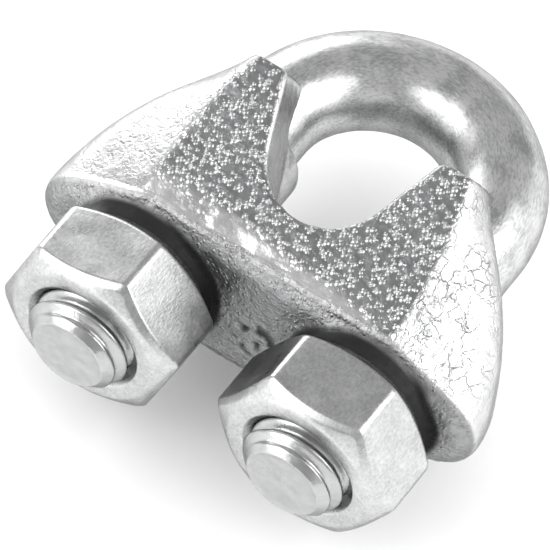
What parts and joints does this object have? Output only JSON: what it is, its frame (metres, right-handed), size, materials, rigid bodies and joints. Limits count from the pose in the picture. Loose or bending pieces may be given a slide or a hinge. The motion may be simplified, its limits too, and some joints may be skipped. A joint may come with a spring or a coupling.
{
  "type": "wire rope clip",
  "caption": "Wire rope clip: a threaded U-bolt and a cast saddle with a rope groove, drawn together by hexagon nuts.",
  "frame": {"origin": "on the rope's axis, in the middle of the rope seat's length", "axes": "+Z along the rope, out of the front of the groove; +Y along the legs towards the bow; X across the legs"},
  "size_m": [0.0364, 0.0379, 0.0222],
  "materials": {
    "cast_zinc_plated": "rough casting, zinc plated",
    "wire_zinc_plated": "bent steel wire, zinc plated",
    "nut_zinc_plated": "satin, zinc plated"
  },
  "bodies": {
    "u_bolt": {"u_bolt": "wire_zinc_plated"},
    "saddle": {"saddle": "cast_zinc_plated"},
    "left_nut": {"left_nut": "nut_zinc_plated"},
    "right_nut": {"right_nut": "nut_zinc_plated"}
  },
  "joints": [
    {"name": "saddle_slide", "type": "slide", "parent": "u_bolt", "child": "saddle", "axis": [0, -1, 0], "range_m": [-0.0045, 0.0018]},
    {"name": "left_nut_turn", "type": "hinge", "parent": "saddle", "child": "left_nut", "pos_m": [-0.009, -0.0107, 0], "axis": [0, -1, 0], "range_deg": [-1300, 520]},
    {"name": "right_nut_turn", "type": "hinge", "parent": "saddle", "child": "right_nut", "pos_m": [0.009, -0.0107, 0], "axis": [0, -1, 0], "range_deg": [-1300, 520]}
  ],
  "couplings": [
    {"joint": "left_nut_turn", "follows": "saddle_slide", "rad_per_m": 5026.5},
    {"joint": "right_nut_turn", "follows": "saddle_slide", "rad_per_m": 5026.5}
  ]
}
